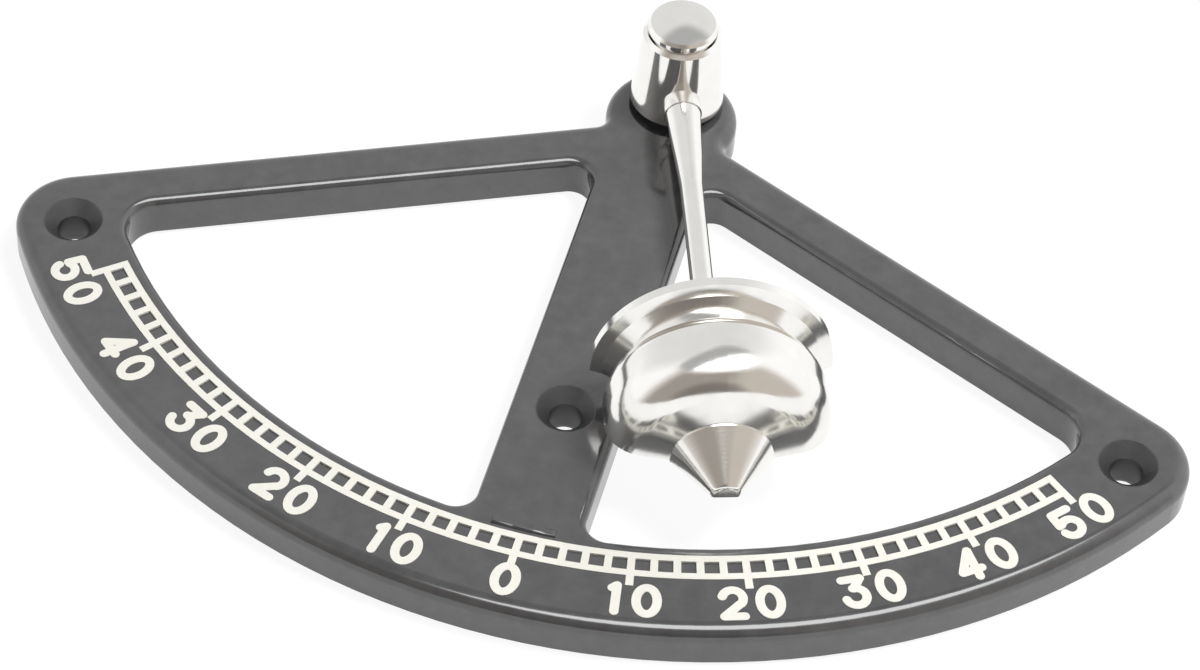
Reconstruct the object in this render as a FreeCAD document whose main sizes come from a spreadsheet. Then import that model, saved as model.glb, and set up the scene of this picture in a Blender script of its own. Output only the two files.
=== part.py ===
import FreeCAD, Part
import math
import os
import Sketcher
from FreeCAD import Placement, Rotation, Vector

# Pendulum inclinometer, lying on its back: +Z comes out of the dial, +Y points from the rim to the pivot.
# The origin is where the spoke's screw hole meets the flat back. All sizes are in millimetres and degrees.

# Driving dimensions: one row of the sheet each.
SIZES = {
    # frame casting
    "frame_thickness": 6.4,
    "window_margin": 1.7,
    "numeral_band": 8.7,
    "arm_slope": 25.2,
    "arm_drop": 3.1,
    "arm_width": 7.4,
    "spoke_width": 14.8,
    "boss_radius": 9.4,
    "boss_drop": 2.4,
    "outer_corner_round": 8.4,
    "boss_corner_round": 2.0,
    "window_round": 3.0,
    "window_far_round": 4.5,
    "outer_edge_round": 2.0,
    "window_edge_round": 1.2,
    "back_edge_chamfer": 0.4,
    "bead_half_angle": 3.0,
    "bead_width": 1.1,
    "bead_height": 0.35,
    "bead_round": 0.25,
    # screw holes
    "corner_hole_angle": 56.9,
    "corner_hole_offset": 2.85,
    "centre_hole_drop": 60.9,
    "screw_hole_diameter": 4.5,
    "countersink_diameter": 8.0,
    "countersink_angle": 90.0,
    # graduation ladder
    "scale_radius": 85.0,
    "scale_half_angle": 50.0,
    "cell_angle": 2.0,
    "long_tick_angle": 10.0,
    "ladder_width": 3.8,
    "rail_width": 0.95,
    "bar_width": 1.0,
    "tick_length": 1.6,
    "channel_depth": 0.25,
    "paint_rise": 0.05,
    "seat_clearance": 0.05,
    # pivot and its fastening
    "stud_radius": 2.6,
    "stud_spigot_radius": 2.0,
    "stud_stub": 0.4,
    "nut_setback": 0.8,
    "nut_flats": 7.0,
    "nut_thickness": 2.4,
    "rear_washer_overhang": 0.5,
    "rear_washer_thickness": 0.6,
    "recess_clearance": 1.0,
    "base_washer_inset": 1.7,
    "base_washer_thickness": 1.0,
    "axial_play": 0.1,
    "cap_radius": 4.9,
    "cap_thickness": 1.0,
    "cap_crown": 0.8,
    "cap_edge_chamfer": 0.35,
    "cap_spigot_radius": 1.5,
    "cap_washer_inset": 0.6,
    "cap_washer_thickness": 0.4,
    # pendulum hub and rod
    "rest_angle": 18.4,
    "rod_height": 5.1,
    "hub_length": 12.5,
    "hub_base_radius": 6.7,
    "hub_top_radius": 5.5,
    "hub_top_chamfer": 0.5,
    "bush_wall": 1.0,
    "running_clearance": 0.05,
    "socket_margin": 0.15,
    "socket_proud": 1.5,
    "rod_root_radius": 2.5,
    "rod_radius": 1.6,
    "rod_shoulder": 0.3,
    "rod_taper_end": 22.0,
    "rod_spigot_length": 3.0,
    # bob and pointer
    "pointer_gap": 5.8,
    "pointer_length": 6.4,
    "pointer_base_radius": 6.8,
    "pointer_rim": 0.25,
    "pointer_tip_radius": 1.8,
    "pointer_tip_round": 0.9,
    "pointer_spigot_radius": 1.6,
    "pointer_spigot_length": 4.0,
    "drum_length": 11.4,
    "drum_radius": 14.95,
    "drum_end_slope": 12.0,
    "shoulder_round": 4.4,
    "drum_end_round": 5.6,
    "groove_length": 4.2,
    "neck_lead": 1.9,
    "neck_radius": 12.0,
    "flange_radius": 16.15,
    "flange_lip": 1.3,
    "lip_bevel_length": 0.6,
    "lip_bevel_width": 1.5,
    "flange_rise": 2.2,
    "collar_radius": 4.2,
    "back_depth": 0.3,
}

# Heights above the flat back, and distances along the rod, that several pieces share.
FACE = "Sizes.frame_thickness"
RECESS_TOP = "(Sizes.nut_setback + Sizes.nut_thickness + Sizes.rear_washer_thickness)"
HUB_BOTTOM = "(Sizes.frame_thickness + Sizes.base_washer_thickness + Sizes.axial_play)"
HUB_TOP = f"({HUB_BOTTOM} + Sizes.hub_length)"
CAP_WASHER_BOTTOM = f"({HUB_TOP} + Sizes.axial_play)"
CAP_BOTTOM = f"({CAP_WASHER_BOTTOM} + Sizes.cap_washer_thickness)"
CAP_RIM = f"({CAP_BOTTOM} + Sizes.cap_thickness)"
ROD_LEVEL = "(Sizes.frame_thickness + Sizes.rod_height)"
LADDER_INNER = "(Sizes.scale_radius - Sizes.ladder_width / 2)"
LADDER_OUTER = "(Sizes.scale_radius + Sizes.ladder_width / 2)"
RIM_INNER = f"({LADDER_INNER} - Sizes.window_margin)"
RIM_OUTER = f"({LADDER_OUTER} + Sizes.numeral_band)"
BAR_HALF_ANGLE = "(Sizes.bar_width / 2 / Sizes.scale_radius * 180 / pi)"
POINTER_TIP = f"({LADDER_INNER} - Sizes.pointer_gap)"
DRUM_END = f"({POINTER_TIP} - Sizes.pointer_length)"
DRUM_START = f"({DRUM_END} - Sizes.drum_length)"
LIP_END = f"({DRUM_START} - Sizes.groove_length)"
LIP_START = f"({LIP_END} - Sizes.flange_lip)"
FLANGE_TOP = f"({LIP_START} - Sizes.flange_rise)"
DRUM_FALL = "((Sizes.drum_radius - Sizes.pointer_base_radius) * tan(Sizes.drum_end_slope * 1 deg))"
DRUM_RIM = f"({DRUM_END} - {DRUM_FALL})"
SOCKET_END = "(Sizes.hub_base_radius + Sizes.socket_proud)"
NUT_CORNER = "(Sizes.nut_flats / 2 / cos(30 deg))"
WASHER_BORE = "(Sizes.stud_radius + Sizes.running_clearance)"
HUB_BORE = f"({WASHER_BORE} + Sizes.bush_wall)"
ROD_SPIGOT = "(Sizes.rod_radius - Sizes.rod_shoulder)"

doc = FreeCAD.newDocument("pendulum_inclinometer")
sheet = doc.addObject("Spreadsheet::Sheet", "Sizes")
for row, (alias, size) in enumerate(SIZES.items(), start=1):
    sheet.set(f"A{row}", alias)
    sheet.set(f"B{row}", str(size))
    sheet.setAlias(f"B{row}", alias)
doc.recompute()


def value(expression):
    """Number that an expression over the sheet gives."""
    return float(sheet.evalExpression(expression))


def near(first, second, tolerance=1e-4):
    """Whether two lengths are the same."""
    return abs(first - second) < tolerance


def new_body(node, hangs=False):
    """Empty body modelled about the pivot axis; one that hangs lies at rod level, turned to its rest."""
    body = doc.addObject("PartDesign::Body", node)
    body.Label = node
    height = ROD_LEVEL if hangs else "0"
    turn = "Sizes.rest_angle" if hangs else "0"
    pivot = Vector(0, value("Sizes.centre_hole_drop"), value(height))
    body.Placement = Placement(pivot, Rotation(Vector(0, 0, 1), value(turn)))
    body.setExpression("Placement.Base.y", "Sizes.centre_hole_drop * 1 mm")
    body.setExpression("Placement.Base.z", f"{height} * 1 mm")
    body.setExpression("Placement.Rotation.Angle", f"{turn} * 1 deg")
    return body


def origin_feature(body, role):
    """Plane or axis of a body's own origin."""
    return next(item for item in body.Origin.OriginFeatures if item.Role == role)


def new_sketch(body, name, plane_role, height="0"):
    """Sketch on one of the body's origin planes, moved along the plane's normal."""
    sketch = body.newObject("Sketcher::SketchObject", name)
    sketch.AttachmentSupport = [(origin_feature(body, plane_role), "")]
    sketch.MapMode = "FlatFace"
    sketch.setExpression("AttachmentOffset.Base.z", f"({height}) * 1 mm")
    return sketch


def constrain(sketch, kind, *references, expression):
    """Dimension of a sketch that follows an expression."""
    index = sketch.addConstraint(Sketcher.Constraint(kind, *references, value(expression)))
    sketch.setExpression(f"Constraints[{index}]", expression)


def place_point(sketch, geometry, end, along, across):
    """Tie a point of the sketch to two expressions."""
    constrain(sketch, "DistanceX", -1, 1, geometry, end, expression=along)
    constrain(sketch, "DistanceY", -1, 1, geometry, end, expression=across)


def join(sketch, first, first_end, second, second_end):
    """Make two points of a sketch one."""
    sketch.addConstraint(Sketcher.Constraint("Coincident", first, first_end, second, second_end))


def arc_about(centre, radius, start_angle, end_angle):
    """Arc of a circle in the sketch plane, angles in radians."""
    circle = Part.Circle(centre, Vector(0, 0, 1), radius)
    return Part.ArcOfCircle(circle, start_angle, end_angle)


def trim_for_round(before, place, after, radius):
    """Where an arc of this radius touches the two lines that meet at a corner."""
    back, ahead = (before - place).normalize(), (after - place).normalize()
    reach = radius / math.tan(back.getAngle(ahead) / 2)
    return place + back * reach, place + ahead * reach


def round_corner(sketch, line_in, line_out, corner, radius):
    """Arc between two trimmed lines of an outline, tied to the corner where they would meet."""
    along, across = corner
    place = Vector(value(along), value(across), 0)
    touches = [sketch.getPoint(line_in, 2), sketch.getPoint(line_out, 1)]
    back, ahead = ((touch - place).normalize() for touch in touches)
    centre = place + (back + ahead).normalize() * (value(radius) / math.sin(back.getAngle(ahead) / 2))
    angles = [math.atan2(touch.y - centre.y, touch.x - centre.x) for touch in touches]
    turns_left = back.cross(ahead).z < 0
    start_angle, end_angle = angles if turns_left else reversed(angles)
    arc = sketch.addGeometry(arc_about(centre, value(radius), start_angle, end_angle), False)
    first_end, last_end = (1, 2) if turns_left else (2, 1)
    sketch.addConstraint(Sketcher.Constraint("Tangent", line_in, 2, arc, first_end))
    sketch.addConstraint(Sketcher.Constraint("Tangent", arc, last_end, line_out, 1))
    constrain(sketch, "Radius", arc, expression=radius)
    point = sketch.addGeometry(Part.Point(place), True)
    place_point(sketch, point, 1, along, across)
    for line in (line_in, line_out):
        sketch.addConstraint(Sketcher.Constraint("PointOnObject", point, 1, line))


def add_polygon(sketch, corners, domed_edge=None, rounds=None):
    """Closed outline through corners given as pairs of expressions.

    The edge with the number domed_edge ends on the sketch's upright axis and is an arc centred there. The
    corners that rounds names by number get the radius given there.
    """
    rounds = rounds or {}
    points = [Vector(value(along), value(across), 0) for along, across in corners]
    first = sketch.GeometryCount
    count = len(points)
    ends = [(point, point) for point in points]
    for number, radius in rounds.items():
        ends[number] = trim_for_round(points[number - 1], points[number], points[(number + 1) % count], value(radius))
    for number in range(count):
        here, there = ends[number][1], ends[(number + 1) % count][0]
        if number == domed_edge:
            rise = there.y - here.y
            radius = (here.x**2 + rise**2) / (2 * rise)
            centre = Vector(0, there.y - radius, 0)
            start_angle = math.atan2(here.y - centre.y, here.x)
            arc = sketch.addGeometry(arc_about(centre, radius, start_angle, math.pi / 2), False)
            sketch.addConstraint(Sketcher.Constraint("PointOnObject", arc, 3, -2))
        else:
            sketch.addGeometry(Part.LineSegment(here, there), False)
    for number, corner in enumerate(corners):
        line_in, line_out = first + (number - 1) % count, first + number
        if number in rounds:
            round_corner(sketch, line_in, line_out, corner, rounds[number])
        else:
            join(sketch, line_in, 2, line_out, 1)
            place_point(sketch, line_out, 1, *corner)


def add_circle(sketch, along, across, radius):
    """Circle whose centre and radius are expressions."""
    centre = Vector(value(along), value(across), 0)
    circle = sketch.addGeometry(Part.Circle(centre, Vector(0, 0, 1), value(radius)), False)
    place_point(sketch, circle, 3, along, across)
    constrain(sketch, "Radius", circle, expression=radius)


def add_arc_outline(sketch, corners, radius):
    """Closed outline of lines whose last corner runs back to the first on an arc about the origin."""
    points = [Vector(value(along), value(across), 0) for along, across in corners]
    last = len(points) - 2
    for number in range(last + 1):
        sketch.addGeometry(Part.LineSegment(points[number], points[number + 1]), False)
    for number in range(last):
        join(sketch, number, 2, number + 1, 1)
    angles = [math.atan2(point.y, point.x) for point in (points[0], points[-1])]
    arc = sketch.addGeometry(arc_about(Vector(), value(radius), min(angles), max(angles)), False)
    first_end, last_end = (1, 2) if angles[0] < angles[1] else (2, 1)
    join(sketch, arc, 3, -1, 1)
    for number, (along, across) in enumerate(corners[:-1]):
        place_point(sketch, number, 1, along, across)
    constrain(sketch, "DistanceX", -1, 1, last, 2, expression=corners[-1][0])
    join(sketch, arc, first_end, 0, 1)
    join(sketch, arc, last_end, last, 2)


def add_ring_sector(sketch, inner, outer, half_angle):
    """Part of a ring about the origin, evenly about the downward axis."""
    spread = math.radians(value(half_angle))
    down = math.radians(270)
    arcs = []
    for radius in (inner, outer):
        arc = sketch.addGeometry(arc_about(Vector(), value(radius), down - spread, down + spread), False)
        join(sketch, arc, 3, -1, 1)
        constrain(sketch, "Radius", arc, expression=radius)
        reach = f"({radius}) * sin({half_angle} * 1 deg)"
        constrain(sketch, "DistanceX", -1, 1, arc, 1, expression=f"-{reach}")
        constrain(sketch, "DistanceX", -1, 1, arc, 2, expression=reach)
        arcs.append(arc)
    for end in (1, 2):
        here, there = (sketch.getPoint(arc, end) for arc in arcs)
        line = sketch.addGeometry(Part.LineSegment(here, there), False)
        join(sketch, line, 1, arcs[0], end)
        join(sketch, line, 2, arcs[1], end)


def pad(body, name, sketch, length):
    """Material from a sketch along its normal."""
    feature = body.newObject("PartDesign::Pad", name)
    feature.Profile = sketch
    feature.setExpression("Length", f"({length}) * 1 mm")
    doc.recompute()
    return feature


def check_cut(feature, volume_before):
    """Stop if a cut met no material."""
    if not feature.Shape.Volume < volume_before:
        raise RuntimeError(f"{feature.Name} cuts nothing")


def pocket(body, name, sketch, length, with_normal):
    """Cut from a sketch, with its normal or against it."""
    before = body.Tip.Shape.Volume
    feature = body.newObject("PartDesign::Pocket", name)
    feature.Profile = sketch
    feature.setExpression("Length", f"({length}) * 1 mm")
    feature.Reversed = with_normal
    doc.recompute()
    check_cut(feature, before)
    return feature


def revolve(body, name, sketch, axis):
    """Full turn of a profile about an axis of its sketch."""
    feature = body.newObject("PartDesign::Revolution", name)
    feature.Profile = sketch
    feature.ReferenceAxis = (sketch, [axis])
    feature.Angle = 360
    doc.recompute()
    return feature


def repeat_about_pivot(body, name, original, angle, occurrences):
    """Copies of a feature about the upright axis."""
    pattern = body.newObject("PartDesign::PolarPattern", name)
    pattern.Originals = [original]
    pattern.Axis = (origin_feature(body, "Z_Axis"), [""])
    pattern.setExpression("Angle", f"({angle}) * 1 deg")
    pattern.setExpression("Occurrences", occurrences)
    body.Tip = pattern
    doc.recompute()
    return pattern


def dress_edges(body, kind, name, wanted, size):
    """Fillet or chamfer on the edges of the tip that a test accepts."""
    base = body.Tip
    edges = enumerate(base.Shape.Edges, start=1)
    chosen = [f"Edge{number}" for number, edge in edges if not edge.Degenerated and wanted(edge)]
    if not chosen:
        raise RuntimeError(f"{name} finds no edge")
    feature = body.newObject(f"PartDesign::{kind}", name)
    feature.Base = (base, chosen)
    feature.setExpression("Radius" if kind == "Fillet" else "Size", f"({size}) * 1 mm")
    doc.recompute()
    return feature


def ring_at(radius, distance, axis):
    """Test for a circular edge of this radius, centred on an axis at this distance."""
    radius_now, distance_now = value(radius), value(distance)

    def wanted(edge):
        curve = edge.Curve
        if not isinstance(curve, Part.Circle) or not near(curve.Radius, radius_now):
            return False
        return near(getattr(curve.Center, axis), distance_now)

    return wanted


def upright_at(places):
    """Test for an edge that stands along Z at one of these places or its mirror image."""
    def wanted(edge):
        foot = edge.Vertexes[0].Point
        stands = all(near(vertex.X, foot.x) and near(vertex.Y, foot.y) for vertex in edge.Vertexes)
        return stands and any(near(abs(foot.x), abs(x), 0.01) and near(foot.y, y, 0.01) for x, y in places)

    return wanted


def one_of(edges):
    """Test for an edge that is among these."""
    return lambda edge: any(edge.isSame(other) for other in edges)


def level_face(shape, height):
    """Largest face that lies flat at this height."""
    flat = [face for face in shape.Faces if isinstance(face.Surface, Part.Plane)]
    level = [face for face in flat if all(near(vertex.Z, height) for vertex in face.Vertexes)]
    return max(level, key=lambda face: face.Area)


def line_meets_circle(drop, radius):
    """Where a line that leaves the upright axis at the arms' slope meets a circle about the pivot."""
    across = "cos(Sizes.arm_slope * 1 deg)"
    fall = "sin(Sizes.arm_slope * 1 deg)"
    reach = f"(sqrt({radius}^2 - ({drop} * {across})^2) - {drop} * {fall})"
    return f"({reach} * {across})", f"(-{drop} - {reach} * {fall})"


def cast_outline(body):
    """Sector plate with boss and windows, and its rounded corners."""
    outer_across, outer_down = line_meets_circle("Sizes.arm_drop", RIM_OUTER)
    sector = new_sketch(body, "sector_outline", "XY_Plane")
    corners = [(f"-{outer_across}", outer_down), ("0", "-Sizes.arm_drop"), (outer_across, outer_down)]
    add_arc_outline(sector, corners, RIM_OUTER)
    pad(body, "sector_plate", sector, FACE)
    boss = new_sketch(body, "boss_outline", "XY_Plane")
    add_circle(boss, "0", "-Sizes.boss_drop", "Sizes.boss_radius")
    pad(body, "pivot_boss", boss, FACE)

    half_spoke = "(Sizes.spoke_width / 2)"
    inner_drop = "(Sizes.arm_drop + Sizes.arm_width / cos(Sizes.arm_slope * 1 deg))"
    apex_down = f"-({inner_drop} + {half_spoke} * tan(Sizes.arm_slope * 1 deg))"
    foot_down = f"-sqrt({RIM_INNER}^2 - {half_spoke}^2)"
    window_corners = [
        line_meets_circle(inner_drop, RIM_INNER),
        (half_spoke, apex_down),
        (half_spoke, foot_down),
    ]
    window = new_sketch(body, "window_outline", "XY_Plane")
    add_arc_outline(window, window_corners, RIM_INNER)
    opening = pocket(body, "right_window", window, FACE, with_normal=True)
    mirrored = body.newObject("PartDesign::Mirrored", "left_window")
    mirrored.Originals = [opening]
    mirrored.MirrorPlane = (origin_feature(body, "YZ_Plane"), [""])
    body.Tip = mirrored
    doc.recompute()

    far_corner, *spoke_corners = [(value(along), value(across)) for along, across in window_corners]
    dress_edges(body, "Fillet", "window_corners", upright_at(spoke_corners), "Sizes.window_round")
    dress_edges(body, "Fillet", "window_far_corners", upright_at([far_corner]), "Sizes.window_far_round")
    place = (value(outer_across), value(outer_down))
    dress_edges(body, "Fillet", "outer_corners", upright_at([place]), "Sizes.outer_corner_round")
    joint = boss_meets_arm()
    dress_edges(body, "Fillet", "boss_corners", upright_at([joint]), "Sizes.boss_corner_round")


def boss_meets_arm():
    """Place where the boss circle meets the outer line of the right arm."""
    slope = math.radians(value("Sizes.arm_slope"))
    drop = value("Sizes.arm_drop")
    below_centre = drop - value("Sizes.boss_drop")
    boss = value("Sizes.boss_radius")
    reach = math.sqrt(boss**2 - (below_centre * math.cos(slope))**2) - below_centre * math.sin(slope)
    return reach * math.cos(slope), -drop - reach * math.sin(slope)


def soften_edges(body):
    """Rounded dial side and bevelled back."""
    wires = level_face(body.Tip.Shape, value(FACE)).Wires
    wires.sort(key=lambda wire: wire.BoundBox.DiagonalLength)
    outer = wires[-1].Edges
    dress_edges(body, "Fillet", "outer_edge", one_of(outer), "Sizes.outer_edge_round")
    wires = level_face(body.Tip.Shape, value(FACE)).Wires
    wires.sort(key=lambda wire: wire.BoundBox.DiagonalLength)
    inner = [edge for wire in wires[:-1] for edge in wire.Edges]
    dress_edges(body, "Fillet", "window_edges", one_of(inner), "Sizes.window_edge_round")
    back = level_face(body.Tip.Shape, 0).Edges
    dress_edges(body, "Chamfer", "back_edges", one_of(back), "Sizes.back_edge_chamfer")


def drill_screw_holes(body):
    """Three countersunk holes: two at the corners and one on the spoke."""
    circle = "(Sizes.scale_radius + Sizes.corner_hole_offset)"
    across = f"{circle} * sin(Sizes.corner_hole_angle * 1 deg)"
    down = f"-{circle} * cos(Sizes.corner_hole_angle * 1 deg)"
    sketch = new_sketch(body, "screw_hole_centres", "XY_Plane", FACE)
    for place in ((f"-{across}", down), (across, down), ("0", "-Sizes.centre_hole_drop")):
        add_circle(sketch, *place, "Sizes.screw_hole_diameter / 2")
    doc.recompute()
    before = body.Tip.Shape.Volume
    holes = body.newObject("PartDesign::Hole", "screw_holes")
    holes.Profile = sketch
    holes.DepthType = "ThroughAll"
    holes.Threaded = False
    holes.HoleCutType = "Countersink"
    holes.setExpression("Diameter", "Sizes.screw_hole_diameter * 1 mm")
    holes.setExpression("HoleCutDiameter", "Sizes.countersink_diameter * 1 mm")
    holes.setExpression("HoleCutCountersinkAngle", "Sizes.countersink_angle * 1 deg")
    doc.recompute()
    check_cut(holes, before)


def raise_bead(body):
    """Low rounded bead across the foot of the spoke, next to the scale."""
    outer = f"({LADDER_INNER} - Sizes.bead_width / 2)"
    sketch = new_sketch(body, "bead_outline", "XY_Plane", FACE)
    add_ring_sector(sketch, f"({outer} - Sizes.bead_width)", outer, "Sizes.bead_half_angle")
    pad(body, "spoke_bead", sketch, "Sizes.bead_height")
    top = level_face(body.Tip.Shape, value(f"{FACE} + Sizes.bead_height")).Edges
    dress_edges(body, "Fillet", "bead_edges", one_of(top), "Sizes.bead_round")


def build_frame():
    """Cast frame: arc rim, two arms, spoke and pivot boss, with screw holes, scale channel and nut recess."""
    body = new_body("frame")
    cast_outline(body)
    soften_edges(body)
    raise_bead(body)
    drill_screw_holes(body)
    bore = new_sketch(body, "stud_bore_outline", "XY_Plane")
    add_circle(bore, "0", "0", "Sizes.stud_spigot_radius + Sizes.seat_clearance")
    pocket(body, "stud_bore", bore, FACE, with_normal=True)
    recess = new_sketch(body, "nut_recess_outline", "XY_Plane")
    washer_radius = f"{NUT_CORNER} + Sizes.rear_washer_overhang"
    add_circle(recess, "0", "0", f"{washer_radius} + Sizes.recess_clearance")
    pocket(body, "nut_recess", recess, RECESS_TOP, with_normal=True)
    channel = new_sketch(body, "scale_channel_outline", "XY_Plane", FACE)
    inner = f"({LADDER_INNER} - Sizes.seat_clearance)"
    outer = f"({LADDER_OUTER} + Sizes.seat_clearance)"
    end_clearance = "Sizes.seat_clearance / Sizes.scale_radius * 180 / pi"
    half_angle = f"(Sizes.scale_half_angle + {BAR_HALF_ANGLE} + {end_clearance})"
    add_ring_sector(channel, inner, outer, half_angle)
    pocket(body, "scale_channel", channel, "Sizes.channel_depth", with_normal=False)


def add_spoke_of_ring(sketch, inner, outer, low_angle, high_angle):
    """Four-sided outline between two radii and two angles from the downward axis."""
    corners = []
    for radius, angle in ((inner, low_angle), (outer, low_angle), (outer, high_angle), (inner, high_angle)):
        corners.append((f"{radius} * sin({angle} * 1 deg)", f"-{radius} * cos({angle} * 1 deg)"))
    add_polygon(sketch, corners)


def build_graduation_ladder():
    """Ladder scale: two rails with a bar at each cell's edge, and long ticks that reach for the numerals."""
    body = new_body("graduation_ladder")
    floor = f"{FACE} - Sizes.channel_depth"
    thickness = "Sizes.channel_depth + Sizes.paint_rise"
    band = new_sketch(body, "band_outline", "XY_Plane", floor)
    add_ring_sector(band, LADDER_INNER, LADDER_OUTER, f"(Sizes.scale_half_angle + {BAR_HALF_ANGLE})")
    pad(body, "band", band, thickness)
    tick = new_sketch(body, "tick_outline", "XY_Plane", FACE)
    inner = f"({LADDER_OUTER} - Sizes.rail_width)"
    outer = f"({LADDER_OUTER} + Sizes.tick_length)"
    low_angle = f"(-Sizes.scale_half_angle - {BAR_HALF_ANGLE})"
    high_angle = f"(-Sizes.scale_half_angle + {BAR_HALF_ANGLE})"
    add_spoke_of_ring(tick, inner, outer, low_angle, high_angle)
    first_tick = pad(body, "first_tick", tick, "Sizes.paint_rise")
    whole_angle = "2 * Sizes.scale_half_angle"
    tick_count = f"round({whole_angle} / Sizes.long_tick_angle) + 1"
    repeat_about_pivot(body, "long_ticks", first_tick, whole_angle, tick_count)
    cell = new_sketch(body, "cell_outline", "XY_Plane", floor)
    inner = f"({LADDER_INNER} + Sizes.rail_width)"
    outer = f"({LADDER_OUTER} - Sizes.rail_width)"
    high_angle = f"(-Sizes.scale_half_angle + Sizes.cell_angle - {BAR_HALF_ANGLE})"
    low_angle = f"(-Sizes.scale_half_angle + {BAR_HALF_ANGLE})"
    add_spoke_of_ring(cell, inner, outer, low_angle, high_angle)
    first_cell = pocket(body, "first_cell", cell, thickness, with_normal=True)
    cell_count = f"round({whole_angle} / Sizes.cell_angle)"
    repeat_about_pivot(body, "cells", first_cell, f"{whole_angle} - Sizes.cell_angle", cell_count)


def build_ring(node, inner, outer, bottom, thickness):
    """Flat or tall ring about the pivot axis."""
    body = new_body(node)
    sketch = new_sketch(body, f"{node}_outline", "XY_Plane", bottom)
    add_circle(sketch, "0", "0", outer)
    add_circle(sketch, "0", "0", inner)
    pad(body, f"{node}_ring", sketch, thickness)


def build_pivot_stud():
    """Shouldered pin: spigot through the boss, bearing length for the hub, spigot for the cap."""
    body = new_body("pivot_stud")
    foot = "(Sizes.nut_setback - Sizes.stud_stub)"
    head = f"({CAP_RIM} - Sizes.seat_clearance)"
    profile = new_sketch(body, "stud_profile", "XZ_Plane")
    add_polygon(profile, [
        ("0", foot),
        ("Sizes.stud_spigot_radius", foot),
        ("Sizes.stud_spigot_radius", FACE),
        ("Sizes.stud_radius", FACE),
        ("Sizes.stud_radius", CAP_BOTTOM),
        ("Sizes.cap_spigot_radius", CAP_BOTTOM),
        ("Sizes.cap_spigot_radius", head),
        ("0", head),
    ])
    revolve(body, "stud", profile, "V_Axis")


def build_rear_nut():
    """Hexagon nut in the recess of the back."""
    body = new_body("rear_nut")
    sketch = new_sketch(body, "nut_outline", "XY_Plane", "Sizes.nut_setback")
    corners = [(f"{NUT_CORNER} * cos({turn} deg)", f"{NUT_CORNER} * sin({turn} deg)") for turn in range(0, 360, 60)]
    add_polygon(sketch, corners)
    add_circle(sketch, "0", "0", "Sizes.stud_spigot_radius + Sizes.seat_clearance")
    pad(body, "nut", sketch, "Sizes.nut_thickness")


def build_pivot_cap():
    """Low domed cap on the stud's upper spigot."""
    body = new_body("pivot_cap")
    hole = "(Sizes.cap_spigot_radius + Sizes.seat_clearance)"
    profile = new_sketch(body, "cap_profile", "XZ_Plane")
    corners = [
        (hole, CAP_BOTTOM),
        ("Sizes.cap_radius", CAP_BOTTOM),
        ("Sizes.cap_radius", CAP_RIM),
        ("0", f"{CAP_RIM} + Sizes.cap_crown"),
        ("0", CAP_RIM),
        (hole, CAP_RIM),
    ]
    add_polygon(profile, corners, domed_edge=2)
    revolve(body, "cap", profile, "V_Axis")
    rim = ring_at("Sizes.cap_radius", CAP_RIM, "z")
    dress_edges(body, "Chamfer", "cap_edge", rim, "Sizes.cap_edge_chamfer")


def build_pendulum_hub():
    """Tapered barrel with a socket for the rod on one side and a bore for the bush."""
    body = new_body("pendulum_hub", hangs=True)
    bottom = f"({HUB_BOTTOM} - {ROD_LEVEL})"
    top = f"({HUB_TOP} - {ROD_LEVEL})"
    profile = new_sketch(body, "barrel_profile", "XZ_Plane")
    add_polygon(profile, [
        ("0", bottom),
        ("Sizes.hub_base_radius", bottom),
        ("Sizes.hub_top_radius", top),
        ("0", top),
    ])
    revolve(body, "barrel", profile, "V_Axis")
    socket = new_sketch(body, "socket_outline", "XZ_Plane")
    add_circle(socket, "0", "0", "Sizes.rod_root_radius + Sizes.socket_margin")
    pad(body, "rod_socket", socket, SOCKET_END)
    rim = ring_at("Sizes.hub_top_radius", top, "z")
    dress_edges(body, "Chamfer", "barrel_rim", rim, "Sizes.hub_top_chamfer")
    bore = new_sketch(body, "bush_bore_outline", "XY_Plane", bottom)
    add_circle(bore, "0", "0", f"{HUB_BORE} + Sizes.seat_clearance")
    pocket(body, "bush_bore", bore, "Sizes.hub_length", with_normal=True)
    hole = new_sketch(body, "rod_hole_outline", "XZ_Plane", SOCKET_END)
    add_circle(hole, "0", "0", f"{ROD_SPIGOT} + Sizes.seat_clearance")
    depth = "Sizes.rod_spigot_length + Sizes.seat_clearance"
    pocket(body, "rod_hole", hole, depth, with_normal=False)


def build_pendulum_rod():
    """Rod turned with a spigot at each end, thicker at its root."""
    body = new_body("pendulum_rod", hangs=True)
    profile = new_sketch(body, "rod_profile", "YZ_Plane")
    root = f"({SOCKET_END} - Sizes.rod_spigot_length)"
    end = f"({FLANGE_TOP} + Sizes.rod_spigot_length)"
    stations = [
        (root, "0"),
        (root, ROD_SPIGOT),
        (SOCKET_END, ROD_SPIGOT),
        (SOCKET_END, "Sizes.rod_root_radius"),
        ("Sizes.rod_taper_end", "Sizes.rod_radius"),
        (FLANGE_TOP, "Sizes.rod_radius"),
        (FLANGE_TOP, ROD_SPIGOT),
        (end, ROD_SPIGOT),
        (end, "0"),
    ]
    add_polygon(profile, [(f"-{station}", radius) for station, radius in stations])
    revolve(body, "rod", profile, "H_Axis")
    cut_flat_back(body, FLANGE_TOP, f"{end} + 1")


def cut_flat_back(body, start, end):
    """Mill a turned piece flat just behind its axis, so that the bob and what it holds are half round."""
    sketch = new_sketch(body, f"{body.Name}_back_outline", "XY_Plane", "-Sizes.back_depth")
    side = "(Sizes.flange_radius + 1)"
    corners = [(f"{sign}{side}", f"-({place})") for sign, place in (("-", start), ("", start), ("", end), ("-", end))]
    add_polygon(sketch, corners)
    pocket(body, f"{body.Name}_flat_back", sketch, side, with_normal=False)


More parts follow.
